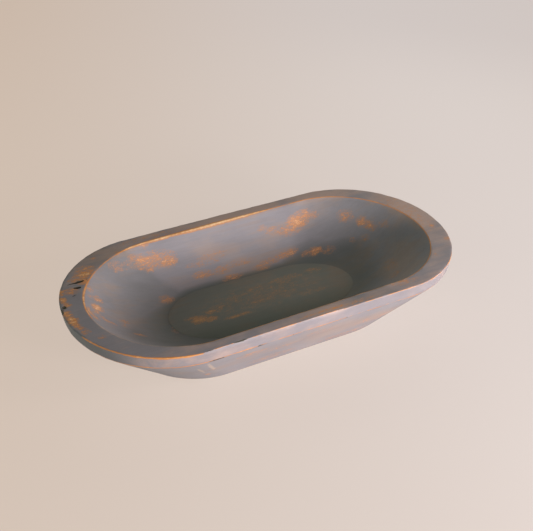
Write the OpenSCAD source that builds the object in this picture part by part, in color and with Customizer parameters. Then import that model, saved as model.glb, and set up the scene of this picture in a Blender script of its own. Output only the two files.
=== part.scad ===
// Oval dough bowl: a rim board, a wall board and a floor board glued face to face,
// then hollowed out and worn round the edges. The long axis is X and the near side is -Y.

/* [Bowl] */
// Length over the rim
bowl_l = 500; // [450:1:600]
// Width over the rim
bowl_w = 260; // [230:1:300]
// Height from the table to the top of the rim
bowl_h = 75; // [65:1:110]
// Length of the rim's rounded left end
rim_left_end = 122; // [90:1:150]
// Length of the rim's rounded right end
rim_right_end = 117; // [90:1:150]

/* [Rim board] */
// Thickness of the rim board
rim_board_t = 15.5; // [10:0.5:22]
// Width of the flat rim along the sides
rim_side_w = 17; // [12:1:30]
// Width of the flat rim at the ends
rim_end_w = 27; // [18:1:40]
// How far the edge band draws in on its way down
band_draft = 2.5; // [0.5:0.5:4]

/* [Hollow] */
// Length of the mouth's rounded ends
mouth_end = 105; // [80:1:130]
// Turn of the hand-cut mouth against the rim, in degrees
mouth_turn = 0.7; // [0:0.1:1.5]
// Length of the flat floor
floor_l = 248; // [200:1:280]
// Width of the flat floor
floor_w = 107; // [80:1:130]
// Length of the floor's rounded left end
floor_left_end = 64; // [45:1:90]
// Length of the floor's rounded right end
floor_right_end = 74; // [45:1:90]
// Turn of the hand-cut floor against the rim, in degrees
floor_turn = -1; // [-2:0.1:1]
// How hollow the walls are, from 1 for straight ones
wall_curve = 1.5; // [1:0.1:2]

/* [Floor board] */
// Thickness of the floor board outside the flat floor
floor_board_t = 20; // [12:1:28]
// Height of the flat floor above the rest of its board
floor_rise = 2; // [1.5:0.1:4]
// Clearance between the flat floor's edge and the wall board's lip
floor_gap = 0.2; // [0.1:0.1:0.5]

/* [Wall board] */
// Thickness of the wall board's lip round the flat floor
lip_t = 1; // [0.5:0.1:1.4]

/* [Base] */
// Length of the base
base_l = 355; // [300:1:400]
// Width of the base
base_w = 177; // [145:1:200]
// Length of the base's rounded left end
base_left_end = 86; // [70:1:120]
// Length of the base's rounded right end
base_right_end = 104; // [70:1:130]

/* [Planed strip on the near edge] */
// Length of the strip
plane_l = 175; // [80:1:200]
// Width that the strip takes off the rim
plane_w = 1.5; // [0.5:0.1:4]
// Height of the strip down the edge band
plane_h = 4; // [2:0.1:8]
// Place of the strip's middle, left of the bowl's middle
plane_x = 52; // [20:1:80]

/* [Drying checks and knot hole in the rim's left end] */
// Length of the long check
check_l = 21; // [10:1:28]
// Width of the long check
check_w = 2.4; // [1:0.1:5]
// Depth of the long check
check_d = 6; // [2:0.5:9]
// Distance of the long check's middle from the rim's end
check_in = 33; // [28:1:36]
// Distance of the long check's middle from the long axis
check_y = 64; // [55:1:75]
// Length of the short check
short_check_l = 8; // [4:1:12]
// Width of the short check
short_check_w = 3; // [1:0.1:5]
// Distance of the short check's middle from the rim's end
short_check_in = 32; // [24:1:34]
// Distance of the short check's middle from the long axis
short_check_y = 54; // [46:1:60]
// Length of the knot hole along the edge
knot_l = 15; // [8:1:20]
// Width of the knot hole into the rim
knot_w = 7; // [3:0.5:10]
// Depth of the knot hole
knot_d = 8; // [4:0.5:9]
// Distance of the knot hole's middle from the rim's end
knot_in = 2.5; // [1:0.5:4]
// Distance of the knot hole's middle from the long axis
knot_y = 20; // [8:1:32]

/* [Hidden] */

// Colours of the worn chalk paint on each board
rim_colour = [0.47, 0.43, 0.42];
wall_colour = [0.60, 0.56, 0.58];
floor_colour = [0.39, 0.37, 0.34];

// Steps round each end of an outline, and levels down the hollow wall
end_steps = 36;
wall_steps = 12;
// Overrun of every cut past the surface that it opens
overrun = 1;

// Heights of the rim board's lower face and of the wall board's lip
seam_z = bowl_h - rim_board_t;
lip_z = floor_board_t + lip_t;

// A plan is an outline's half length, half width, left end and right end
rim_top = [bowl_l / 2, bowl_w / 2, rim_left_end, rim_right_end];
rim_low = [for (size = rim_top) size - band_draft];
base = [base_l / 2, base_w / 2, base_left_end, base_right_end];
mouth = [bowl_l / 2 - rim_end_w, bowl_w / 2 - rim_side_w, mouth_end, mouth_end];
floor_plan = [floor_l / 2, floor_w / 2, floor_left_end, floor_right_end];
lip_plan = [for (size = floor_plan) size + floor_gap];

// Plan of a check or knot hole, as shares of its length and width
crack_shares = [
    [-0.5, 0], [-0.3, -0.3], [-0.05, -0.35], [0.15, -0.5], [0.35, -0.25],
    [0.5, 0.05], [0.3, 0.3], [0.1, 0.5], [-0.1, 0.3], [-0.3, 0.35]
];

// Half an ellipse, from one straight side of a plan round an end to the other
function round_end(centre_x, end, half_w, start) =
    [for (i = [0 : end_steps])
        let (a = start + 180 * i / end_steps)
        [centre_x + end * cos(a), half_w * sin(a)]];

// A plan's outline, anticlockwise, turned about the bowl's middle
function outline(plan, turn) =
    let (
        right = round_end(plan[0] - plan[3], plan[3], plan[1], -90),
        left = round_end(plan[2] - plan[0], plan[2], plan[1], 90)
    )
    [for (p = concat(right, left))
        [p.x * cos(turn) - p.y * sin(turn), p.x * sin(turn) + p.y * cos(turn)]];

// A plan part of the way from one plan to another
function between(plan_a, plan_b, share) =
    [for (i = [0 : len(plan_a) - 1]) plan_a[i] + (plan_b[i] - plan_a[i]) * share];

// A closed solid through a stack of levels from the bottom up, each a height, a plan and a turn
module loft(levels) {
    rings = [for (level = levels) [for (p = outline(level[1], level[2])) [p.x, p.y, level[0]]]];
    n = len(rings[0]);
    top = len(rings) - 1;
    skin = [for (k = [0 : top - 1]) for (i = [0 : n - 1])
        let (j = (i + 1) % n)
        for (face = [[k * n + i, k * n + n + i, k * n + j], [k * n + j, k * n + n + i, k * n + n + j]])
        face];
    polyhedron(
        points = [for (ring = rings) each ring],
        faces = concat([[for (i = [0 : n - 1]) i]], skin, [[for (i = [n - 1 : -1 : 0]) top * n + i]])
    );
}

// The outside of the bowl, run past the top and bottom so that the boards' faces are cut flat
module outside() {
    loft([
        [-overrun, between(base, rim_low, -overrun / seam_z), 0],
        [seam_z, rim_low, 0],
        [bowl_h + overrun, between(rim_low, rim_top, (rim_board_t + overrun) / rim_board_t), 0]
    ]);
}

// One level of the hollow's wall, at a share of the way in from the mouth to the lip
function wall_level(share) =
    [
        lip_z + (bowl_h - lip_z) * pow(1 - share, wall_curve),
        between(mouth, lip_plan, share),
        mouth_turn + (floor_turn - mouth_turn) * share
    ];

// The hollow, run past the mouth and past the lip
module hollow() {
    loft(concat(
        [[floor_board_t - overrun, lip_plan, floor_turn]],
        [for (i = [wall_steps : -1 : 0]) wall_level(i / wall_steps)],
        [[bowl_h + overrun, mouth, mouth_turn]]
    ));
}

// Everything between two heights
module layer(low, high) {
    translate([-bowl_l / 2 - overrun, -bowl_w / 2 - overrun, low])
        cube([bowl_l + 2 * overrun, bowl_w + 2 * overrun, high - low]);
}

// An open check or knot hole cut down from the top of the rim
module crack(length, width, depth) {
    translate([0, 0, bowl_h - depth])
        linear_extrude(height = depth + overrun)
            polygon([for (p = crack_shares) [p.x * length, p.y * width]]);
}

// The strip planed off the outer edge of the rim along the near side
module planed_strip() {
    strip_t = 2 * overrun;
    translate([-plane_x - plane_l / 2, -bowl_w / 2, bowl_h - plane_h])
        rotate([90, 0, 90])
            linear_extrude(height = plane_l)
                polygon([
                    [0, 0],
                    [plane_w, plane_h],
                    [plane_w, plane_h + overrun],
                    [-strip_t, plane_h + overrun],
                    [-strip_t, 0]
                ]);
}

// Base, and the flat floor that stands up through the wall board
module floor_board() {
    color(floor_colour) {
        intersection() {
            outside();
            layer(0, floor_board_t);
        }
        translate([0, 0, floor_board_t])
            linear_extrude(height = floor_rise)
                polygon(outline(floor_plan, floor_turn));
    }
}

// Tapered ring between the floor board and the rim board
module wall_board() {
    color(wall_colour)
        difference() {
            intersection() {
                outside();
                layer(floor_board_t, seam_z);
            }
            hollow();
        }
}

// Flat rim with its edge band
module rim_board() {
    color(rim_colour)
        difference() {
            intersection() {
                outside();
                layer(seam_z, bowl_h);
            }
            hollow();
            planed_strip();
            translate([check_in - bowl_l / 2, check_y, 0])
                crack(check_l, check_w, check_d);
            translate([short_check_in - bowl_l / 2, short_check_y, 0])
                crack(short_check_l, short_check_w, check_d);
            translate([knot_in - bowl_l / 2, knot_y, 0])
                rotate([0, 0, 90])
                    crack(knot_l, knot_w, knot_d);
        }
}

floor_board();
wall_board();
rim_board();
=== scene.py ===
import math

import bmesh
import bpy
import numpy as np
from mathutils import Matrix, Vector
from mathutils.kdtree import KDTree


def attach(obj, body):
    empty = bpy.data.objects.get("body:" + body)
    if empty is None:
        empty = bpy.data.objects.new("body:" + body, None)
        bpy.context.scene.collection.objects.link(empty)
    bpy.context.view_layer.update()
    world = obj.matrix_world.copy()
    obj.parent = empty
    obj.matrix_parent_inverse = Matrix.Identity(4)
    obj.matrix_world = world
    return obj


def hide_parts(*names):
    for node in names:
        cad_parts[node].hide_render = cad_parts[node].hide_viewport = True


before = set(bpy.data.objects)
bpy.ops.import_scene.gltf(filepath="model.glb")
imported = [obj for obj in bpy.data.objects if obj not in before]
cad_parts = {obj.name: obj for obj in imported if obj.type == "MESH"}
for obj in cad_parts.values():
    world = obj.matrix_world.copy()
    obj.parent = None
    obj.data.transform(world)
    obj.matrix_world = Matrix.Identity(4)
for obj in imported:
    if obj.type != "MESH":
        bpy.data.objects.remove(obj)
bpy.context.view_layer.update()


# Floor board
# The lowest of the three softwood boards that the bowl is glued up from. It stands on the
# table, its edge is sawn to the slope of the body, and its top is planed flat to make the
# floor of the hollow. Chalk paint covers it, rubbed through in streaks along the grain.
MM = 0.001
ROUND_STEPS = 288
SIDE_CUTS = 96
RING_POINTS = ROUND_STEPS + 2 * SIDE_CUTS


def plan(length, width, left_end, right_end):
    """Half length, half width and the reach of both rounded ends, from millimetres."""
    return [length / 2 * MM, width / 2 * MM, left_end * MM, right_end * MM]


def between(plan_a, plan_b, share):
    """A plan part of the way from one plan to another."""
    return [a + (b - a) * share for a, b in zip(plan_a, plan_b)]


def drawn_in(outer, distance):
    """A plan drawn in by one distance all round."""
    return [size - distance for size in outer]


def measure_from(line):
    """A quick way to find how far any place is from a line."""
    tree = KDTree(len(line))
    for k, place in enumerate(line):
        tree.insert(place, k)
    tree.balance()
    return lambda place: tree.find(place)[2]


def ring_line(piece, ring):
    """Places under a millimetre apart along a ring, to pick edges and measure by."""
    shell = bmesh.from_edit_mesh(piece.data)
    shell.verts.index_update()
    line = []
    for edge in shell.edges:
        a, b = edge.verts
        if a.index in ring and b.index in ring:
            line += [a.co.lerp(b.co, k / 4) for k in range(4)]
    return line


def start_board(name):
    """An empty piece, open in edit mode."""
    bpy.ops.object.select_all(action="DESELECT")
    piece = bpy.data.objects.new(name, bpy.data.meshes.new(name))
    bpy.context.scene.collection.objects.link(piece)
    bpy.context.view_layer.objects.active = piece
    piece.select_set(True)
    bpy.ops.object.mode_set(mode="EDIT")
    return piece


def pick_points(piece, test):
    """Selects the points that pass a test."""
    bpy.ops.mesh.select_mode(type="VERT")
    bpy.ops.mesh.select_all(action="DESELECT")
    shell = bmesh.from_edit_mesh(piece.data)
    shell.verts.index_update()
    for point in shell.verts:
        point.select_set(test(point))
    shell.select_flush_mode()
    bmesh.update_edit_mesh(piece.data)


def pick_edges(piece, test):
    """Selects the edges whose two points pass a test together."""
    bpy.ops.mesh.select_mode(type="EDGE")
    bpy.ops.mesh.select_all(action="DESELECT")
    shell = bmesh.from_edit_mesh(piece.data)
    shell.verts.index_update()
    for edge in shell.edges:
        edge.select_set(test(*edge.verts))
    bmesh.update_edit_mesh(piece.data)


def pick_rings(piece, *rings):
    """Selects the edges of whole rings, but not those that join one ring to another."""
    pick_edges(piece, lambda a, b: any(a.index in r and b.index in r for r in rings))


def cut_corner(piece, first, outline, corner):
    """Draws the far left corner of a level out to a bigger ellipse, presses what goes past
    the far side flat, and eases the blunt crease where the two meet."""
    half_l, half_w, left_end, right_end = outline
    side_end = half_l - right_end
    pick_points(piece, lambda p: p.index >= first + ROUND_STEPS and p.co.y > 0)
    bpy.ops.transform.resize(
        value=((side_end + half_l - corner[0]) / (side_end + half_l - left_end), 1, 1),
        center_override=(side_end, 0, 0))
    pick_points(piece, lambda p: first <= p.index < first + ROUND_STEPS
                and p.co.x < left_end - half_l and p.co.y > 0)
    bpy.ops.transform.resize(value=(corner[0] / left_end, corner[1] / half_w, 1),
                             center_override=(-half_l, 0, 0))
    pick_points(piece, lambda p: p.index >= first and p.co.y > half_w)
    bpy.ops.transform.resize(value=(1, 0, 1), center_override=(0, half_w, 0))
    crease = corner[0] * (1 - math.sqrt(1 - (half_w / corner[1]) ** 2)) - half_l
    eased = 0.3 * half_w
    pick_points(piece, lambda p: p.index >= first and p.co.y > 0.5 * half_w
                and abs(p.co.x - crease) < eased)
    bpy.ops.mesh.vertices_smooth(factor=0.5, repeat=40)


def add_ring(piece, outline, height, turn=0.0, corner=None):
    """One level of a board: a circle drawn out to two half ellipses with straight sides."""
    half_l, half_w, left_end, right_end = outline
    first = len(bmesh.from_edit_mesh(piece.data).verts)
    bpy.ops.mesh.select_all(action="DESELECT")
    bpy.ops.mesh.primitive_circle_add(
        vertices=ROUND_STEPS, radius=half_w, location=(0, 0, height),
        rotation=(0, 0, math.pi / ROUND_STEPS))
    for side, end in ((-1, left_end), (1, right_end)):
        pick_points(piece, lambda p, s=side: p.index >= first and p.co.x * s > 0)
        bpy.ops.transform.resize(value=(end / half_w, 1, 1), center_override=(0, 0, height))
        bpy.ops.transform.translate(value=(side * (half_l - end), 0, 0))
    pick_edges(piece, lambda a, b: a.index >= first and a.co.x * b.co.x < 0)
    bpy.ops.mesh.subdivide(number_cuts=SIDE_CUTS)
    if corner:
        cut_corner(piece, first, outline, corner)
    if turn:
        pick_points(piece, lambda p: p.index >= first)
        bpy.ops.transform.rotate(
            value=-math.radians(turn), orient_axis="Z", center_override=(0, 0, 0))
    return range(first, first + RING_POINTS)


def bridge(piece, ring_a, ring_b, cuts=0, level=None):
    """The skin between two rings. Two rings on one level are bridged a little apart and
    then pressed flat together, because on one level it isn't told which way they face."""
    apart = 5 * MM
    if level is not None:
        pick_points(piece, lambda p: p.index in ring_b)
        bpy.ops.transform.translate(value=(0, 0, apart))
    pick_rings(piece, ring_a, ring_b)
    bpy.ops.mesh.bridge_edge_loops(number_cuts=cuts, interpolation="LINEAR")
    if level is not None:
        bpy.ops.transform.resize(value=(1, 1, 0), center_override=(0, 0, level))


def fill_ring(piece, ring):
    """The face that closes a ring."""
    pick_rings(piece, ring)
    bpy.ops.mesh.edge_face_add()


def ease_arris(piece, line, width, steps):
    """Rounds over the arris that follows a line."""
    gap = measure_from(line)
    on_line = 0.7 * MM
    pick_edges(piece, lambda a, b: gap(a.co) < on_line and gap(b.co) < on_line)
    bpy.ops.mesh.bevel(offset=width, segments=steps, affect="EDGES")


def close_board(piece):
    """Turns the finished skin's faces outwards and leaves edit mode."""
    bpy.ops.mesh.select_all(action="SELECT")
    bpy.ops.mesh.normals_make_consistent(inside=False)
    bpy.ops.mesh.select_all(action="DESELECT")
    bpy.ops.object.mode_set(mode="OBJECT")


base = plan(355, 177, 86, 104)
rim_low = plan(495, 255, 119.5, 114.5)
floor_plan = plan(248, 107, 64, 74)
FLOOR_TURN = -1.0
FLOOR_CORNER = (85 * MM, 58.5 * MM)
SEAM_Z = 59.5 * MM
BOARD_Z = 20 * MM
FLOOR_Z = 22 * MM


def body_plan(height):
    """The outside of the body at a height below the rim board."""
    return between(base, rim_low, height / SEAM_Z)


# A slot in the middle of each wide flat face, so that the face is rings round a narrow one
floor_piece = start_board("painted_floor")
under_slot = add_ring(floor_piece, drawn_in(base, 84 * MM), 0)
base_foot = add_ring(floor_piece, base, 0)
body_edge = add_ring(floor_piece, body_plan(BOARD_Z), BOARD_Z)
step_foot = add_ring(floor_piece, floor_plan, BOARD_Z, FLOOR_TURN, FLOOR_CORNER)
step_top = add_ring(floor_piece, floor_plan, FLOOR_Z, FLOOR_TURN, FLOOR_CORNER)
floor_slot = add_ring(floor_piece, drawn_in(floor_plan, 50 * MM), FLOOR_Z, FLOOR_TURN)
step_line = ring_line(floor_piece, step_top)
base_line = ring_line(floor_piece, base_foot)
fill_ring(floor_piece, under_slot)
bridge(floor_piece, under_slot, base_foot, cuts=12, level=0)
bridge(floor_piece, base_foot, body_edge, cuts=7)
bridge(floor_piece, body_edge, step_foot, level=BOARD_Z)
bridge(floor_piece, step_foot, step_top)
bridge(floor_piece, step_top, floor_slot, cuts=20, level=FLOOR_Z)
fill_ring(floor_piece, floor_slot)
ease_arris(floor_piece, step_line, 0.2 * MM, 1)
ease_arris(floor_piece, base_line, 0.8 * MM, 2)
close_board(floor_piece)

# Hand work leaves every painted face a little uneven, and handling nibbles the arrises
hand_work = bpy.data.textures.new("hand_work", "CLOUDS")
hand_work.noise_scale = 0.07
hand_work.noise_depth = 1
handling = bpy.data.textures.new("handling", "CLOUDS")
handling.noise_scale = 0.011
handling.noise_depth = 2


def weigh_points(piece, name, weight):
    """A vertex group whose weights come from the places of the points."""
    group = piece.vertex_groups.new(name=name)
    for point in piece.data.vertices:
        share = weight(point.co)
        if share > 0:
            group.add([point.index], min(share, 1.0), "REPLACE")


def press(piece, group, texture, depth, level):
    """Pushes the points of a group in and out along their normals."""
    bpy.context.view_layer.objects.active = piece
    push = piece.modifiers.new(group, "DISPLACE")
    push.texture = texture
    push.texture_coords = "LOCAL"
    push.vertex_group = group
    push.strength = depth
    push.mid_level = level
    bpy.ops.object.modifier_apply(modifier=push.name)


def work_by_hand(piece, lines, glued):
    """Makes the faces uneven, and the arrises along some lines more so, but leaves the
    faces alone that lie at the levels of the table and of the glue."""
    gaps = [measure_from(line) for line in lines]
    reach = 2.4 * MM
    fade = 14 * MM
    unevenness = 0.7 * MM
    nibble = -1.1 * MM

    def free(place):
        return all(abs(place.z - level) > 0.05 * MM for level in glued)

    def clear(place):
        share = min(1, *[abs(place.z - level) / fade for level in glued])
        return share * share * (3 - 2 * share) if free(place) else 0

    weigh_points(piece, "worked", clear)
    weigh_points(piece, "handled", lambda place: (
        1 - min((gap(place) for gap in gaps), default=reach) / reach if free(place) else 0))
    press(piece, "worked", hand_work, unevenness, 0.5)
    press(piece, "handled", handling, nibble, 0.4)


def smooth_faces(piece):
    """Soft shading over the worked faces, crisp at the arrises."""
    crisp = math.radians(32)
    bpy.ops.object.select_all(action="DESELECT")
    piece.select_set(True)
    bpy.context.view_layer.objects.active = piece
    bpy.ops.object.shade_smooth_by_angle(angle=crisp)


work_by_hand(floor_piece, [], [0, BOARD_Z])
smooth_faces(floor_piece)


def places_of(piece):
    """The places of a piece's points, in millimetres."""
    return np.array([point.co / MM for point in piece.data.vertices])


def ramp(values, start, end):
    """0 up to one value and 1 from another on, with an even rise between them."""
    return np.clip((values - start) / (end - start), 0, 1)


def near_marks(places, marks):
    """How deep each place lies in the strongest of some round marks. Each mark is its
    centre, its reach along X, Y and Z, all in millimetres, and its strength."""
    depth = np.zeros(len(places))
    for centre, reach, strength in marks:
        away = (((places - np.array(centre)) / np.array(reach)) ** 2).sum(axis=1)
        depth = np.maximum(depth, strength * np.clip(1 - away, 0, 1))
    return depth


def straight(start, end, steps):
    """Places along a straight line between two given in millimetres."""
    return [Vector(start).lerp(Vector(end), k / steps) * MM for k in range(steps + 1)]


def beside_lines(piece, lines):
    """How close each point lies to some lines. Each is its places, how strong it is on the
    line, how many millimetres it takes to fall by 1 beside it, and marks that widen it."""
    points = piece.data.vertices
    places = places_of(piece)
    nearness = np.full(len(points), -1.0)
    for line, strength, width, marks in lines:
        gap = measure_from(line)
        gaps = np.array([gap(point.co) / MM for point in points])
        nearness = np.maximum(nearness, strength - gaps / (width + near_marks(places, marks)))
    return nearness


def lay_values(piece, name, values):
    """Writes one value on every point, for the paint to read."""
    layer = piece.data.attributes.new(name, "FLOAT", "POINT")
    layer.data.foreach_set("value", values.astype(np.float32))


def lay_wear(piece, arrises, rubs, stains, scuff_and_highlight_lines, warmth_and_light):
    """Writes on the points how bare the arrises are, how far the paint is rubbed, how dark the
    wood is stained, how pale it is from scuffing and painted highlights, and how warm it is,
    partly from painted warm light. Arrises and pale marks follow lines, and the others are
    round marks."""
    places = places_of(piece)
    lay_values(piece, "arris", beside_lines(piece, arrises))
    lay_values(piece, "rubbed", near_marks(places, rubs))
    lay_values(piece, "stain", near_marks(places, stains))
    lay_values(piece, "scuff_and_highlight", beside_lines(piece, scuff_and_highlight_lines))
    lay_values(piece, "warmth_and_light", near_marks(places, warmth_and_light))


floor_rubs = [
    ((-88, -4, 22), (15, 10, 5), 0.86),
    ((-77, -9, 22), (13, 6, 5), 0.84),
    ((-70, 4, 22), (13, 5, 5), 0.66),
    ((-99, 3, 22), (9, 6, 5), 0.42),
    ((-58, 8, 22), (16, 6, 5), 0.40),
    ((-44, -18, 22), (22, 4, 5), 0.76),
    ((45, 25, 22), (34, 9, 5), 0.38),
    ((87, 27, 22), (16, 7, 5), 0.36),
    ((27, 6, 22), (32, 10, 5), 0.30),
    ((-4, -3, 22), (14, 5, 5), 0.36),
    ((-5, 22, 22), (40, 9, 5), 0.30),
    ((62, -14, 22), (28, 8, 5), 0.26),
    ((0, 8, 22), (120, 40, 5), 0.15),
]
base_rubs = [
    ((-122, -98, 17), (4, 6, 7), 0.62),
    ((-40, -100, 12), (45, 12, 8), 0.28),
    ((60, -95, 8), (50, 12, 8), 0.26),
    ((170, 30, 12), (16, 40, 9), 0.34),
    ((-60, 96, 12), (50, 12, 8), 0.30),
    ((-165, -40, 10), (16, 30, 8), 0.32),
]
# The pale line along the floor's step edge is a painted highlight
lay_wear(floor_piece, [(base_line, 1, 1.2, [])], floor_rubs + base_rubs, [],
         [(step_line, 0.45, 1.0, [])], [((-10, 6, 22), (110, 34, 5), 0.3)])
floor_places = places_of(floor_piece)
on_top = floor_places[:, 2] > 21
# Painted shade on the floor's top, darker towards the near wall
lay_values(floor_piece, "painted_shade", 0.75 * ramp(floor_places[:, 1], -14, -44) * on_top)


def put(tree, kind, sockets=None, **settings):
    """A shader node with its settings, and its sockets linked or given their values."""
    node = tree.nodes.new("ShaderNode" + kind)
    for name, value in settings.items():
        setattr(node, name, value)
    for name, value in (sockets or {}).items():
        if isinstance(value, bpy.types.NodeSocket):
            tree.links.new(value, node.inputs[name])
        else:
            node.inputs[name].default_value = value
    return node


def reckon(tree, a, b, operation="ADD"):
    """One step of arithmetic between two values."""
    return put(tree, "Math", {0: a, 1: b}, operation=operation).outputs[0]


def scale(tree, value, size):
    """A value made larger or smaller."""
    return reckon(tree, value, size, "MULTIPLY")


def swing(tree, value, size):
    """A noise brought to swing about 0, and made larger or smaller."""
    return scale(tree, reckon(tree, value, 0.5, "SUBTRACT"), size)


def ease(tree, value, low, high):
    """0 below one value, 1 above another, and a soft rise between them."""
    return put(tree, "MapRange", {0: value, 1: low, 2: high},
               interpolation_type="SMOOTHSTEP").outputs[0]


def spread(tree, value, low, high):
    """A noise's middle range drawn out to run from one value to another."""
    return put(tree, "MapRange", {0: value, 1: 0.3, 2: 0.7, 3: low, 4: high}).outputs[0]


def lay_over(tree, share, first, second, blend="MIX"):
    """One colour laid over another."""
    return put(tree, "Mix", {0: share, 6: first, 7: second},
               data_type="RGBA", blend_type=blend).outputs[2]


def noise(tree, vector, stretch, detail=3.0, roughness=0.55, distortion=0.0):
    """Noise with so many patches to the metre along X, Y and Z."""
    scaled = put(tree, "VectorMath", {0: vector, 1: stretch}, operation="MULTIPLY").outputs[0]
    return put(tree, "TexNoise", {"Vector": scaled, "Scale": 1.0, "Detail": detail,
                                  "Roughness": roughness, "Distortion": distortion}).outputs[0]


def new_group(name, takes, gives):
    """A shader node group with named inputs and outputs."""
    group = bpy.data.node_groups.new(name, "ShaderNodeTree")
    for label, kind, value in takes:
        socket = group.interface.new_socket(
            name=label, in_out="INPUT", socket_type="NodeSocket" + kind)
        socket.default_value = value
    for label, kind in gives:
        group.interface.new_socket(
            name=label, in_out="OUTPUT", socket_type="NodeSocket" + kind)
    start = group.nodes.new("NodeGroupInput")
    end = group.nodes.new("NodeGroupOutput")
    return group, start.outputs, end.inputs


# Chalk paint brushed along the boards: clouds, brush streaks and a fine chalky grain
chalk_paint, take, give = new_group(
    "chalk_paint",
    [("Vector", "Vector", (0, 0, 0)), ("Paint", "Color", (0.3, 0.27, 0.27, 1)),
     ("Undertone", "Color", (0.24, 0.2, 0.16, 1)), ("Streaks", "Float", 1.0),
     ("Warm_tone_and_light", "Float", 0.0)],
    [("Colour", "Color"), ("Height", "Float")])
clouds = noise(chalk_paint, take["Vector"], (15, 19, 19), 4.0)
streaks = noise(chalk_paint, take["Vector"], (9, 95, 70), 5.0, 0.62, 0.5)
bristles = noise(chalk_paint, take["Vector"], (26, 420, 300), 3.0, 0.6, 0.4)
chalk = noise(chalk_paint, take["Vector"], (1500, 1500, 1500), 2.0)
brushed = swing(chalk_paint, streaks, take["Streaks"])
tone = reckon(chalk_paint, spread(chalk_paint, clouds, 0.92, 1.08),
              scale(chalk_paint, brushed, 0.26))
tone = reckon(chalk_paint, tone, spread(chalk_paint, bristles, -0.035, 0.035))
tone = reckon(chalk_paint, tone, spread(chalk_paint, chalk, -0.03, 0.03))
# Warm tone from the clouds against the streaks, and painted warm light where the marks call
# for it
warm = reckon(chalk_paint, reckon(chalk_paint, clouds, brushed, "SUBTRACT"),
              scale(chalk_paint, take["Warm_tone_and_light"], 0.28))
warm = scale(chalk_paint, ease(chalk_paint, warm, 0.46, 0.8), 0.8)
mixed = lay_over(chalk_paint, warm, take["Paint"], take["Undertone"])
shade = put(chalk_paint, "CombineColor", {0: tone, 1: tone, 2: tone}).outputs[0]
chalk_paint.links.new(lay_over(chalk_paint, 1.0, mixed, shade, "MULTIPLY"), give["Colour"])
chalk_paint.links.new(reckon(chalk_paint, scale(chalk_paint, streaks, 0.45),
                             scale(chalk_paint, chalk, 0.25)), give["Height"])

# Bare softwood, darkened by wax: grain along the boards, paler where it is rubbed deepest
bare_wood, take, give = new_group(
    "bare_wood",
    [("Vector", "Vector", (0, 0, 0)), ("Pale", "Color", (0.6, 0.36, 0.18, 1)),
     ("Deep", "Color", (0.4, 0.15, 0.06, 1)), ("Depth", "Float", 0.5)],
    [("Colour", "Color"), ("Height", "Float")])
grain = noise(bare_wood, take["Vector"], (16, 380, 380), 5.0, 0.6, 0.3)
pale = reckon(bare_wood, take["Depth"], swing(bare_wood, grain, 0.9))
pale = ease(bare_wood, pale, 0.5, 1.15)
bare_wood.links.new(lay_over(bare_wood, pale, take["Deep"], take["Pale"]), give["Colour"])
bare_wood.links.new(grain, give["Height"])

# Where the sanding block and hands have gone through the paint: flecks along the grain
rub_through, take, give = new_group(
    "rub_through",
    [("Vector", "Vector", (0, 0, 0)), ("Rubbed", "Float", 0.0), ("Arris", "Float", 0.0)],
    [("Bare", "Float"), ("Thin", "Float"), ("Depth", "Float")])
ridges = noise(rub_through, take["Vector"], (130, 250, 250), 3.0, 0.62)
flecks = noise(rub_through, take["Vector"], (520, 860, 860), 2.0, 0.66)
along = noise(rub_through, take["Vector"], (38, 38, 38), 3.0, 0.6)
nicks = noise(rub_through, take["Vector"], (240, 240, 240), 3.0, 0.6)
worn = reckon(rub_through, scale(rub_through, ridges, 0.5), scale(rub_through, flecks, 0.5))
patch = reckon(rub_through, take["Rubbed"], swing(rub_through, worn, 3.6))
line = reckon(rub_through, take["Arris"], reckon(
    rub_through, reckon(rub_through, along, nicks), 1.0, "SUBTRACT"))
touched = ease(rub_through, take["Rubbed"], 0.02, 0.15)
line_bare = ease(rub_through, line, 0.12, 0.38)
patch_bare = scale(rub_through, ease(rub_through, patch, 0.4, 0.78), touched)
patch_thin = scale(rub_through, ease(rub_through, patch, -0.1, 0.75), touched)
bare = reckon(rub_through, line_bare, patch_bare, "MAXIMUM")
depth = reckon(rub_through, scale(rub_through, patch, 0.73), scale(rub_through, line, 0.9),
               "MAXIMUM")
rub_through.links.new(bare, give["Bare"])
rub_through.links.new(patch_thin, give["Thin"])
rub_through.links.new(depth, give["Depth"])

# Pale tint for scuffing, and for the painted highlight along the floor's step edge
SCUFF_AND_HIGHLIGHT_TINT = (1.6, 1.38, 1.12, 1)
# Painted shade: a dark green laid over the paint where the boards lie in shade
PAINTED_SHADE_COLOUR = (0.01, 0.044, 0.026, 1)
STAIN_COLOUR = (0.028, 0.026, 0.022, 1)


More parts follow.
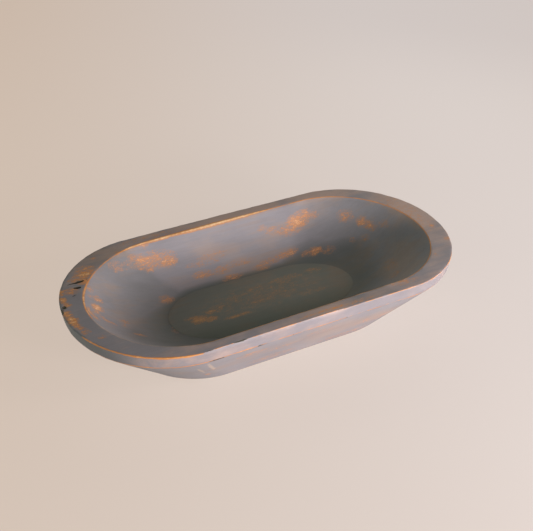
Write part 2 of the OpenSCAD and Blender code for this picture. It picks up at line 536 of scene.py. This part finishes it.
def worn_paint(name, paint, undertone, streaks, pale, deep):
    """The finish of one board: chalk paint over wood, worn by the marks on its points, which
    also lay painted shade, painted warm light and painted highlights on it. Pale and deep are
    the wood's colours where it is rubbed most and least."""
    material = bpy.data.materials.new(name)
    material.use_nodes = True
    tree = material.node_tree
    shader = tree.nodes["Principled BSDF"]
    vector = put(tree, "TexCoord").outputs["Object"]
    marks = {label: put(tree, "Attribute", attribute_name=label).outputs["Fac"]
             for label in ("arris", "rubbed", "stain", "scuff_and_highlight", "warmth_and_light", "painted_shade")}
    wear = put(tree, "Group", node_tree=rub_through)
    coat = put(tree, "Group", node_tree=chalk_paint)
    wood = put(tree, "Group", node_tree=bare_wood)
    for group in (wear, coat, wood):
        tree.links.new(vector, group.inputs["Vector"])
    tree.links.new(marks["rubbed"], wear.inputs["Rubbed"])
    tree.links.new(marks["arris"], wear.inputs["Arris"])
    tree.links.new(wear.outputs["Depth"], wood.inputs["Depth"])
    tree.links.new(marks["warmth_and_light"], coat.inputs["Warm_tone_and_light"])
    coat.inputs["Paint"].default_value = paint
    coat.inputs["Undertone"].default_value = undertone
    coat.inputs["Streaks"].default_value = streaks
    wood.inputs["Pale"].default_value = pale
    wood.inputs["Deep"].default_value = deep
    # Pale scuffing, which along the floor's step edge is a painted highlight
    ticks = noise(tree, vector, (150, 70, 110), 3.0, 0.6)
    scuff_and_highlight_share = ease(tree, reckon(tree, marks["scuff_and_highlight"], swing(tree, ticks, 1.3)), 0.15, 0.9)
    scuff_and_highlight_share = scale(tree, scuff_and_highlight_share, ease(tree, marks["scuff_and_highlight"], 0.0, 0.2))
    scuff_and_highlight = lay_over(tree, 1.0, coat.outputs["Colour"], SCUFF_AND_HIGHLIGHT_TINT, "MULTIPLY")
    colour = lay_over(tree, scuff_and_highlight_share, coat.outputs["Colour"], scuff_and_highlight)
    # Painted shade: the paint darkened towards a dark green where the marks say so
    colour = lay_over(tree, scale(tree, marks["painted_shade"], 0.6), colour, PAINTED_SHADE_COLOUR)
    colour = lay_over(tree, scale(tree, wear.outputs["Thin"], 0.5), colour, deep)
    colour = lay_over(tree, wear.outputs["Bare"], colour, wood.outputs["Colour"])
    stained = reckon(tree, marks["stain"], noise(tree, vector, (180, 320, 320)))
    colour = lay_over(tree, ease(tree, stained, 0.75, 1.05), colour, STAIN_COLOUR)
    tree.links.new(colour, shader.inputs["Base Color"])
    rough = put(tree, "MapRange", {0: wear.outputs["Bare"], 3: 0.62, 4: 0.5}).outputs[0]
    tree.links.new(rough, shader.inputs["Roughness"])
    height = reckon(tree, coat.outputs["Height"],
                    scale(tree, wood.outputs["Height"], wear.outputs["Bare"]))
    height = reckon(tree, height, scale(tree, wear.outputs["Bare"], 0.6), "SUBTRACT")
    bump = put(tree, "Bump", {"Strength": 0.35, "Distance": 0.0006, "Height": height})
    tree.links.new(bump.outputs["Normal"], shader.inputs["Normal"])
    return material


# The floor's paint is laid darker and greener than the body's, as painted shade for the floor
# deep in the hollow
floor_piece.data.materials.append(worn_paint(
    "floor_finish_in_painted_shade", paint=(0.163, 0.181, 0.162, 1), undertone=(0.215, 0.175, 0.135, 1),
    streaks=0.6, pale=(0.64, 0.39, 0.17, 1), deep=(0.42, 0.23, 0.1, 1)))

# The outside of this board carries the same coat as the wall board over it
body_finish = worn_paint(
    "body_finish", paint=(0.27, 0.268, 0.292, 1), undertone=(0.34, 0.278, 0.25, 1),
    streaks=0.8, pale=(0.86, 0.57, 0.34, 1), deep=(0.54, 0.26, 0.12, 1))
floor_piece.data.materials.append(body_finish)
for face in floor_piece.data.polygons:
    if face.center.z < BOARD_Z - 0.1 * MM:
        face.material_index = 1
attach(floor_piece, "root")
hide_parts("floor_board")


# Wall board
# The middle board, sawn to a ring and glued on the floor board. Its outside is the long
# slope of the body and its inside the hollow's wall, scooped out by hand. Its thin lip meets
# the flat floor, and paint has filled the step there nearly flush.
LIP_Z = 21.85 * MM
LIP_GAP = 0.06 * MM
RIM_Z = 75 * MM
MOUTH_TURN = 0.7
WALL_CURVE = 1.5
WALL_STEPS = 24
mouth = plan(446, 226, 105, 105)
MOUTH_CORNER = (163 * MM, 124.5 * MM)
lip_plan = drawn_in(floor_plan, -LIP_GAP)
LIP_CORNER = drawn_in(FLOOR_CORNER, -LIP_GAP)
seam_share = 1 - ((SEAM_Z - LIP_Z) / (RIM_Z - LIP_Z)) ** (1 / WALL_CURVE)


def hollow_ring(piece, share):
    """One level of the hollow, a share of the way in from the mouth to the lip."""
    height = LIP_Z + (RIM_Z - LIP_Z) * (1 - share) ** WALL_CURVE
    turn = MOUTH_TURN + (FLOOR_TURN - MOUTH_TURN) * share
    corner = between(MOUTH_CORNER, LIP_CORNER, share)
    return add_ring(piece, between(mouth, lip_plan, share), height, turn, corner)


def line_hollow(piece, ring, start, end, steps):
    """The hollow's skin from a ring at one share of the way in to another share, and the
    ring that it ends with."""
    for k in range(1, steps + 1):
        further_in = hollow_ring(piece, start + (end - start) * k / steps)
        bridge(piece, ring, further_in)
        ring = further_in
    return ring


wall_piece = start_board("painted_wall")
body_top = add_ring(wall_piece, rim_low, SEAM_Z)
seam_line = ring_line(wall_piece, body_top)
hollow_top = hollow_ring(wall_piece, seam_share)
bridge(wall_piece, body_top, hollow_top, level=SEAM_Z)
lip = line_hollow(wall_piece, hollow_top, seam_share, 1, WALL_STEPS)
lip_foot = add_ring(wall_piece, lip_plan, BOARD_Z, FLOOR_TURN, LIP_CORNER)
body_foot = add_ring(wall_piece, body_plan(BOARD_Z), BOARD_Z)
bridge(wall_piece, lip, lip_foot)
bridge(wall_piece, lip_foot, body_foot, level=BOARD_Z)
bridge(wall_piece, body_foot, body_top, cuts=16)
ease_arris(wall_piece, seam_line, 0.7 * MM, 2)
close_board(wall_piece)
work_by_hand(wall_piece, [seam_line], [BOARD_Z, SEAM_Z])
smooth_faces(wall_piece)

hollow_rubs = [
    ((-205, 50, 70), (6.7, 6.7, 5.6), 0.59),
    ((-209.5, 37, 69), (4.5, 4.5, 4.5), 0.56),
    ((-200.6, 36, 62.5), (9, 7.8, 6.7), 0.67),
    ((-206, 19, 63.5), (10.1, 9, 7.8), 1.16),
    ((-219, 5, 72), (5.6, 12.3, 4.5), 0.86),
    ((-217, -7, 70.5), (4.5, 9, 4.5), 0.71),
    ((-210.5, 9, 65.5), (4.5, 6.7, 4.5), 0.59),
    ((-207, -1.5, 62.5), (4.5, 6.7, 4.5), 0.54),
    ((-202, -6, 59.5), (5.6, 5.6, 4.5), 0.52),
    ((-197, -9, 56), (6.7, 4.5, 4.5), 0.48),
    ((-181, 3.8, 44.6), (9, 5.6, 5.6), 0.65),
    ((-182, -7, 47), (11.2, 5.6, 5.6), 0.45),
    ((-173, -25, 42), (13.4, 4.5, 6.7), 0.71),
    ((-110.6, 51, 24), (14, 9, 6), 0.70),
    ((-124, -10.5, 21.5), (5.6, 9, 4.5), 0.45),
    ((-108, 96, 56), (38.1, 12.3, 16.8), 0.56),
    ((-87, 93, 50.8), (15.7, 9, 10.1), 0.86),
    ((-100, 99, 58), (10.1, 5.6, 5.6), 0.60),
    ((-122, 99, 59.5), (13.4, 6.7, 7.8), 0.76),
    ((-132, 101, 64), (10.1, 5.6, 5.6), 0.56),
    ((-126, 89.6, 51), (4.5, 3.4, 7.8), 0.65),
    ((-116, 88, 48), (9, 3.4, 4.5), 0.82),
    ((-160, 90, 64), (17.9, 10.1, 10.1), 0.43),
    ((-142, 94, 59), (16.8, 9, 9), 0.39),
    ((-149, 105, 73), (5.6, 4.5, 4.5), 0.63),
    ((-112, 110, 72), (6.7, 4.5, 4.5), 0.63),
    ((-47, 73, 30.6), (20.2, 9, 5.6), 0.56),
    ((-22, 71.6, 29.8), (16.8, 7.8, 5.6), 0.54),
    ((-13, 60, 23), (17.9, 6.7, 4.5), 0.56),
    ((-40, 84, 40.5), (34, 7, 7), 0.28),
    ((5, 74, 32), (26, 6, 5), 0.40),
    ((-28, 88, 44), (30, 7, 7), 0.24),
    ((31, 62, 24), (16.8, 6.7, 4.5), 0.48),
    ((45, 66, 26.5), (18, 6, 5), 0.58),
    ((69, 68, 28), (20, 7, 5.5), 0.64),
    ((77, 70, 29), (16, 6.5, 5), 0.74),
    ((109, 58, 27.5), (19, 9, 6), 0.74),
    ((95, 60, 26), (10.1, 5.6, 4.5), 0.56),
    ((126, 50, 29), (12.3, 7.8, 6.7), 0.39),
    ((103, 97, 54.4), (19, 12, 12), 0.90),
    ((116, 101, 60), (20, 11, 8), 0.62),
    ((89, 92, 48.5), (20, 11, 9), 0.60),
    ((73, 94, 51), (16.8, 7.8, 7.8), 0.39),
    ((51, 99, 57), (9, 4.5, 4.5), 0.56),
    ((62, 96, 54), (12.3, 4.5, 5.6), 0.41),
    ((128, 98, 58.5), (11.2, 7.8, 6.7), 0.43),
    ((166, 76, 57.4), (13.4, 14.6, 10.1), 0.48),
    ((180, 55, 55), (9, 11.2, 9), 0.67),
    ((185, 43, 53.6), (7.8, 12.3, 7.8), 0.65),
    ((198, 30, 59), (7.8, 10.1, 6.7), 0.41),
    ((172, 33, 43.6), (6.7, 6.7, 6.7), 0.35),
    ((159, 43, 39), (5.6, 5.6, 5.6), 0.35),
    ((167, -36, 41.5), (14.6, 17.9, 10.1), 0.29),
    ((155, -61, 44), (12.3, 10.1, 7.8), 0.35),
    ((60, -80, 36), (44.8, 13.4, 11.2), 0.35),
    ((-60, -92, 48), (51.5, 13.4, 11.2), 0.37),
    ((10, -104, 64), (40.3, 9, 9), 0.39),
]
body_scuffs = [
    (straight((-140, -114, 43), (-128, -103, 26), 40), 1.1, 2.6, []),
    (straight((-131.5, -123, 52.5), (-119, -109, 32), 40), 1.2, 2.8, []),
]
body_rubs = [
    ((-36, -110, 33), (28, 9, 6), 0.28),
    ((16, -115, 41), (28, 9, 6), 0.28),
    ((-75, -115, 42), (24, 9, 8), 0.34),
    ((95, -105, 28), (40, 12, 9), 0.26),
    ((150, -85, 30), (24, 24, 10), 0.34),
    ((222, 20, 42), (12, 36, 10), 0.36),
    ((-225, 10, 44), (12, 30, 10), 0.36),
    ((60, 116, 42), (60, 9, 9), 0.34),
    ((-90, 112, 36), (46, 9, 9), 0.34),
]
# Warm paint tone, and painted warm light on the near lower body and the right of the hollow
body_warmth_and_light = [
    ((-10, -108, 30), (190, 26, 26), 0.6),
    ((110, -100, 26), (60, 20, 12), 0.7),
    ((-160, -80, 30), (60, 40, 16), 0.7),
    ((100, 97, 54), (60, 20, 22), 0.8),
    ((-130, 96, 58), (60, 22, 22), 0.5),
    ((185, -50, 50), (80, 55, 24), 1.3),
]
seam_gold = [((-88, -127, 59), (12, 5, 5), 0.7), ((-180, -100, 59), (90, 60, 8), 0.8)]
seam_stains = [
    ((-124, -126, 59), (15, 4, 1.8), 0.68),
    ((-70, -127, 59), (9, 3, 1.5), 0.60),
    ((-30, -127, 59), (4, 3, 1.4), 0.50),
    ((40, -127, 59), (6, 3, 1.3), 0.46),
]
lay_wear(wall_piece, [(seam_line, 0.9, 0.9, seam_gold)], hollow_rubs + body_rubs, seam_stains,
         body_scuffs, body_warmth_and_light)

CREASE_PLACE = (-133, 110)
PAST_CREASE = (-0.688, -0.726)


def lay_painted_shade(piece):
    """Writes painted shade, how far the paint is darkened: on the left end of the hollow,
    which starts at the crease, on its far right, round its foot, and outside on the left end."""
    places = places_of(piece)
    normals = np.array([point.normal for point in piece.data.vertices])
    x, y, z = places.T
    outwards = (normals[:, :2] * places[:, :2]).sum(axis=1) > 0.15 * np.hypot(x, y)
    past_crease = (places[:, :2] - CREASE_PLACE) @ PAST_CREASE
    left_end = 0.34 * ramp(past_crease, 0, 9) * ramp(past_crease, 126, 36)
    far_right = 0.22 * ramp(x, 90, 130) * ramp(y, 20, 60) * (z < 74)
    reach = 3 + 16 * np.maximum(ramp(y, 46, 0), ramp(x, 60, 110))
    reach += 24 * ramp(y, 0, -40) * ramp(x, 60, -40)
    foot = ramp(z, 22 + reach, 22)
    right_foot = near_marks(places, [((135, 22, 30), (52, 48, 26), 0.8)])
    inside = np.maximum.reduce([left_end, far_right, foot, right_foot])
    outside = 0.6 * ramp(x, -195, -235)
    lay_values(piece, "painted_shade", np.where(outwards, outside, inside))


lay_painted_shade(wall_piece)
wall_piece.data.materials.append(body_finish)
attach(wall_piece, "root")
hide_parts("wall_board")


# Rim board
# The top board, glued on the wall board with its edge left upright, so that it stands out
# as a band over the sloped body. Its arrises are sanded through to the wood all round, a
# strip of the near one is planed off, and old checks and a knot hole are open at the left.
MOUTH_STEPS = 6
rim_top = plan(500, 260, 122, 117)
rim_piece = start_board("painted_rim")
band_foot = add_ring(rim_piece, rim_low, SEAM_Z)
outer_ring = add_ring(rim_piece, rim_top, RIM_Z)
mouth_ring = hollow_ring(rim_piece, 0)
outer_line = ring_line(rim_piece, outer_ring)
mouth_line = ring_line(rim_piece, mouth_ring)
bridge(rim_piece, band_foot, outer_ring, cuts=6)
bridge(rim_piece, outer_ring, mouth_ring, cuts=8, level=RIM_Z)
hollow_foot = line_hollow(rim_piece, mouth_ring, 0, seam_share, MOUTH_STEPS)
bridge(rim_piece, hollow_foot, band_foot, level=SEAM_Z)
ease_arris(rim_piece, seam_line, 0.6 * MM, 2)
ease_arris(rim_piece, outer_line, 0.9 * MM, 3)
ease_arris(rim_piece, mouth_line, 1.1 * MM, 3)
close_board(rim_piece)

# The hollow's part of this board carries the same coat as the wall below it
rim_finish = worn_paint(
    "rim_finish", paint=(0.258, 0.25, 0.272, 1), undertone=(0.475, 0.35, 0.295, 1),
    streaks=0.6, pale=(0.95, 0.66, 0.36, 1), deep=(0.62, 0.26, 0.075, 1))
rim_piece.data.materials.append(rim_finish)
rim_piece.data.materials.append(body_finish)
MOUTH_ARRIS = 1.3 * MM
for face in rim_piece.data.polygons:
    if face.center.z < RIM_Z - MOUTH_ARRIS and face.normal.xy.dot(face.center.xy) < 0:
        face.material_index = 1

# Old wood in the checks and holes, dark along its grain
split_wood = bpy.data.materials.new("split_wood")
split_wood.use_nodes = True
split_tree = split_wood.node_tree
split_vector = put(split_tree, "TexCoord").outputs["Object"]
split_tree.links.new(lay_over(
    split_tree, noise(split_tree, split_vector, (60, 900, 500), 4.0),
    (0.04, 0.046, 0.038, 1), (0.12, 0.105, 0.075, 1)),
    split_tree.nodes["Principled BSDF"].inputs["Base Color"])
split_tree.nodes["Principled BSDF"].inputs["Roughness"].default_value = 0.85


def start_cutter(name, material):
    """A shape to cut the rim with, which is gone when the cut is made."""
    cutter = start_board(name)
    cutter.data.materials.append(material)
    return cutter


def cut_away(piece, cutter):
    """Takes a cutter's shape out of a piece."""
    close_board(cutter)
    bpy.ops.object.select_all(action="DESELECT")
    bpy.context.view_layer.objects.active = piece
    cut = piece.modifiers.new(cutter.name, "BOOLEAN")
    cut.operation = "DIFFERENCE"
    cut.solver = "EXACT"
    cut.material_mode = "TRANSFER"
    cut.object = cutter
    bpy.ops.object.modifier_apply(modifier=cut.name)
    bpy.data.objects.remove(cutter)


def split(name, place, length, width, depth, turn, seed, left_share=1.0):
    """A ragged open check, tapered to its ends and to its foot, and thinner to its left.
    Its place and sizes are in millimetres, and its turn in degrees."""
    cutter = start_cutter(name, split_wood)
    overrun = 1 * MM
    mouth_z = RIM_Z + overrun
    ragged = 0.03 * min(length, 13) * MM
    foot_taper = (0.8, 0.4, 1)
    bpy.ops.mesh.primitive_circle_add(
        vertices=18, radius=0.5, fill_type="NGON", location=(0, 0, mouth_z))
    bpy.ops.transform.resize(value=(length * MM, width * MM, 1),
                             center_override=(0, 0, mouth_z))
    bpy.ops.transform.vertex_random(offset=ragged, uniform=0.5, seed=seed)
    pick_points(cutter, lambda p: p.co.x < 0)
    bpy.ops.transform.resize(value=(1, left_share, 1), center_override=(0, 0, 0))
    bpy.ops.mesh.select_all(action="SELECT")
    bpy.ops.mesh.select_mode(type="FACE")
    bpy.ops.mesh.extrude_region_move(
        TRANSFORM_OT_translate={"value": (0, 0, -depth * MM - overrun)})
    bpy.ops.transform.resize(value=foot_taper, center_override=(0, 0, 0))
    bpy.ops.mesh.select_all(action="SELECT")
    bpy.ops.transform.rotate(value=-math.radians(turn), orient_axis="Z",
                             center_override=(0, 0, 0))
    bpy.ops.transform.translate(value=(place[0] * MM, place[1] * MM, 0))
    cut_away(rim_piece, cutter)


def hole(name, centre, reach, seed):
    """A ragged hollow where a knot or a splinter has come out, by its middle and its reach
    along X, Y and Z in millimetres."""
    cutter = start_cutter(name, split_wood)
    bpy.ops.mesh.primitive_ico_sphere_add(subdivisions=3, radius=MM, location=(0, 0, 0))
    bpy.ops.transform.vertex_random(offset=0.09 * MM, uniform=0.3, seed=seed)
    bpy.ops.transform.resize(value=reach, center_override=(0, 0, 0))
    bpy.ops.transform.translate(value=[c * MM for c in centre])
    cut_away(rim_piece, cutter)


split("long_check", (-216, 64), length=22, width=5.6, depth=5, turn=2, seed=3, left_share=0.36)
split("short_check", (-217.6, 53), length=9.5, width=5.4, depth=5, turn=-10, seed=5)
split("small_check", (-226.2, 38.8), length=4.5, width=1.6, depth=4, turn=10, seed=8)
hole("knot_hole", (-249.4, 14, 73.8), reach=(2.8, 6, 4), seed=4)
hole("knot_pit", (-243.6, 21, 75.6), reach=(2.8, 3.6, 1.6), seed=6)
hole("torn_edge", (-95, -128.3, 75.3), reach=(9, 1.1, 1.2), seed=7)

# A strip planed off the near arris: a long shallow cut, uneven from the blade's chatter,
# that runs out at both ends. Its middle, length, width and height are in millimetres.
STRIP_X, STRIP_L, STRIP_W, STRIP_H = -52, 175, 1.5, 4
STRIP_ENDS = (STRIP_X - STRIP_L / 2, STRIP_X + STRIP_L / 2)
BLADE_W, BLADE_T, CHATTER, RUN_OUT = 9 * MM, 5 * MM, 0.09 * MM, 0.5 * MM
CHATTER_HALF, RUN_OUT_HALF = STRIP_L * 0.49 * MM, STRIP_L * 0.46 * MM
strip = start_cutter("planed_strip", rim_finish)
bpy.ops.mesh.primitive_grid_add(x_subdivisions=110, y_subdivisions=1, size=1,
                                location=(0, 0, 0))
bpy.ops.transform.resize(value=(STRIP_L * MM, BLADE_W, 1), center_override=(0, 0, 0))
bpy.ops.mesh.extrude_region_move(TRANSFORM_OT_translate={"value": (0, 0, BLADE_T)})
pick_points(strip, lambda p: p.co.z < BLADE_T / 2 and abs(p.co.x) < CHATTER_HALF)
bpy.ops.transform.vertex_random(offset=CHATTER, uniform=0.5, seed=12)
for side in (-1, 1):
    pick_points(strip, lambda p, s=side: p.co.z < BLADE_T / 2 and p.co.x * s > RUN_OUT_HALF)
    bpy.ops.transform.translate(value=(0, 0, RUN_OUT))
bpy.ops.mesh.select_all(action="SELECT")
bpy.ops.transform.rotate(value=-math.atan2(STRIP_H, STRIP_W), orient_axis="X",
                         center_override=(0, 0, 0))
bpy.ops.transform.translate(value=(
    STRIP_X * MM, -rim_top[1] + STRIP_W / 2 * MM, RIM_Z - STRIP_H / 2 * MM))
cut_away(rim_piece, strip)
work_by_hand(rim_piece, [seam_line, outer_line, mouth_line], [SEAM_Z])
smooth_faces(rim_piece)
rim_rubs = [
    ((-201, 77, 75), (15, 9, 4), 0.92),
    ((-197, 86, 75), (15, 12, 4), 0.42),
    ((-214, 70, 75), (12, 6, 4), 0.56),
    ((-207, 62, 75), (9, 8, 4), 0.90),
    ((-226, 49, 75), (11, 9, 4), 0.64),
    ((-238.5, 53, 75), (5, 10, 5), 0.84),
    ((-240.5, 35, 75), (5, 12, 5), 0.82),
    ((-238.5, 23, 75), (5, 8, 5), 0.60),
    ((-245, 8, 75), (6, 10, 5), 0.92),
    ((-243.5, -8, 75), (7, 13, 5), 0.98),
    ((-241, -20, 75), (5, 10, 5), 0.80),
    ((-237.5, -33, 75), (6, 10, 5), 0.44),
    ((-180, 106, 75), (5, 5, 4), 0.40),
    ((-224, -52, 75), (6, 4, 4), 0.52),
    ((235, -23.6, 75), (4, 4, 3), 0.62),
    ((196.5, -83, 75), (4, 4, 3), 0.50),
    ((234, -59, 75), (5, 6, 3), 0.46),
    ((22, -123, 75), (26, 3, 3), 0.50),
    ((-8, -123, 75), (14, 3, 3), 0.40),
    ((128, -116.5, 75), (24, 6, 3), 0.34),
    ((60, -124, 75), (30, 3, 3), 0.36),
    ((225, 20, 75), (24, 80, 3), 0.16),
    ((-100, 122, 75), (60, 8, 3), 0.18),
]
rim_stains = [
    ((-247.5, 18, 72), (6, 9, 9), 0.40),
    ((-243.6, 21, 75), (4.5, 5, 3), 0.34),
    ((-222.5, 22, 75), (1.3, 10, 2), 0.40),
    ((-202, 65, 74.5), (2.6, 8, 2), 0.36),
    ((-95, -128.5, 75), (12, 2.4, 2), 0.36),
    ((-132, -128.2, 75), (14, 1.6, 1.6), 0.42),
]


def part_of(line, test):
    """The places of a line, in millimetres, that pass a test."""
    return [place for place in line if test(place.x / MM, place.y / MM)]


wide_mouth = [((-45, 113, 75), (115, 30, 30), 2.5), ((60, -113, 75), (240, 30, 30), 0.4),
              ((-212, 40, 75), (26, 60, 20), 0.6)]
# Warm paint tone, and painted warm light on the rim's far side and right end
rim_warmth_and_light = [
    ((80, 122, 75), (260, 40, 6), 1.0),
    ((235, 10, 75), (70, 130, 6), 1.0),
    ((60, -122, 75), (200, 12, 4), 0.7),
    ((-170, 102, 75), (60, 34, 6), 1.2),
    ((185, -50, 50), (80, 55, 24), 1.3),
]
near_left = [((-190, -95, 75), (110, 70, 30), 0.5)]
strip_top = straight((STRIP_ENDS[0], -128.5, 75), (STRIP_ENDS[1], -128.5, 75), 300)
mouth_bare = part_of(mouth_line, lambda x, y: y > -15 or x > -140)
mouth_scuffed = part_of(mouth_line, lambda x, y: y <= -15 and x <= -140)
outer_left = part_of(outer_line, lambda x, y: y < -40 and x < STRIP_ENDS[0])
outer_right = part_of(outer_line, lambda x, y: y < -10 and x > STRIP_ENDS[1])
outer_far = part_of(outer_line, lambda x, y: y > 60)
lay_wear(
    rim_piece,
    [
        (seam_line, 0.9, 0.9, seam_gold),
        (outer_left, 0.76, 2.3, near_left),
        (outer_right, 1.0, 0.9, []),
        (outer_far, 0.6, 0.8, []),
        (mouth_bare, 1.2, 0.8, wide_mouth),
        (strip_top, 0.46, 1.2, []),
    ],
    hollow_rubs + rim_rubs, rim_stains + seam_stains,
    [(mouth_scuffed, 1.1, 1.8, [])], rim_warmth_and_light)
lay_painted_shade(rim_piece)
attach(rim_piece, "root")
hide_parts("rim_board")


# Table
# A plain pale surface that runs on past the view, with nothing on it but the bowl's shadow.
# Seen itself, it is mostly its own glow, darker and warmer towards the left and far side as
# painted falloff of the light, and the shadow over it.
bpy.ops.object.select_all(action="DESELECT")
bpy.ops.mesh.primitive_plane_add(size=14, location=(0, 0, 0))
table = bpy.context.active_object
table.name = "table"


def seen_rays(tree):
    """1 for what the camera sees, also in a shine or through glass, and 0 for the rest."""
    kinds = put(tree, "LightPath").outputs
    seen = reckon(tree, kinds["Is Camera Ray"], kinds["Is Glossy Ray"], "MAXIMUM")
    return reckon(tree, seen, kinds["Is Transmission Ray"], "MAXIMUM")


pale_table = bpy.data.materials.new("pale_table")
pale_table.use_nodes = True
table_tree = pale_table.node_tree
table_shader = table_tree.nodes["Principled BSDF"]
table_shader.inputs["Base Color"].default_value = (0.86, 0.80, 0.75, 1)
table_shader.inputs["Roughness"].default_value = 0.9
table_place = put(table_tree, "TexCoord").outputs["Object"]
# Painted falloff: the glow's colour darkens and warms towards the left and far side
painted_falloff = ease(table_tree, put(table_tree, "VectorMath", {0: table_place, 1: (1, -0.35, 0)},
                              operation="DOT_PRODUCT").outputs["Value"], -0.7, 0.55)
glow = put(table_tree, "Emission", {"Strength": 1.0, "Color": lay_over(
    table_tree, painted_falloff, (0.715, 0.568, 0.458, 1), (0.765, 0.688, 0.655, 1))})
lifted = put(table_tree, "MixShader", {
    0: scale(table_tree, seen_rays(table_tree), 0.80),
    1: table_shader.outputs[0], 2: glow.outputs[0]})
table_tree.links.new(lifted.outputs[0], table_tree.nodes["Material Output"].inputs["Surface"])
table.data.materials.append(pale_table)


# Light
# One soft window low on the near right, a weaker one above it, and weak light from the
# room on the other sides.
BOWL_MIDDLE = Vector((0, 0, 40 * MM))


def bearing(azimuth, elevation):
    """The direction from the bowl towards a compass bearing, 0 on the near side."""
    a, e = math.radians(azimuth), math.radians(elevation)
    return Vector((math.sin(a) * math.cos(e), -math.cos(a) * math.cos(e), math.sin(e)))


def hang_light(name, azimuth, elevation, distance, width, height, power, colour):
    """A soft window at a bearing in degrees, turned towards the bowl. Its distance and size
    are in metres. Power 1 lights a face that is square to it so that its colour shows as
    written."""
    light = bpy.data.lights.new(name, "AREA")
    light.shape = "RECTANGLE"
    light.size = width
    light.size_y = height
    light.energy = power * (math.pi * distance) ** 2
    light.color = colour
    holder = bpy.data.objects.new(name, light)
    bpy.context.scene.collection.objects.link(holder)
    holder.location = bearing(azimuth, elevation) * distance + BOWL_MIDDLE
    holder.rotation_euler = bearing(azimuth, elevation).to_track_quat("Z", "Y").to_euler()


hang_light("low_window", 22, 11, 1.3, 0.42, 0.26, 1.01, (0.975, 0.88, 0.88))
hang_light("high_window", 45, 23, 1.3, 0.40, 0.30, 0.36, (1.0, 0.87, 0.85))
hang_light("front_room", -25, 5, 1.3, 0.6, 0.14, 0.18, (1.0, 0.86, 0.80))
hang_light("near_left_room", -60, 15, 1.3, 0.5, 0.4, 0.08, (0.80, 0.97, 1.0))
hang_light("far_right_room", 125, 30, 1.0, 0.5, 0.4, 0.12, (1.0, 0.97, 0.84))
hang_light("far_left_room", -120, 18, 1.5, 0.6, 0.4, 0.16, (0.88, 1.0, 0.82))

room = bpy.data.worlds.new("room")
bpy.context.scene.world = room
room.use_nodes = True
sky = room.node_tree
sky.nodes.clear()
faint = put(sky, "Background", {"Color": (0.9, 1.0, 0.9, 1), "Strength": 0.02})
backdrop = put(sky, "Background", {"Color": (0.66, 0.57, 0.50, 1), "Strength": 1.0})
both = put(sky, "MixShader", {0: seen_rays(sky), 1: faint.outputs[0], 2: backdrop.outputs[0]})
sky.links.new(both.outputs[0], put(sky, "OutputWorld").inputs["Surface"])


# Camera
# Standing height over the near left corner of the table, looking down along the bowl.
lens = bpy.data.cameras.new("camera")
lens.lens = 64.10
lens.sensor_width = 36
camera = bpy.data.objects.new("camera", lens)
bpy.context.scene.collection.objects.link(camera)
camera.location = (-0.4549, -0.8636, 0.6942)
camera.rotation_euler = (math.radians(57.42), 0, math.radians(-28.03))
bpy.context.scene.camera = camera
bpy.context.scene.view_settings.view_transform = "Standard"
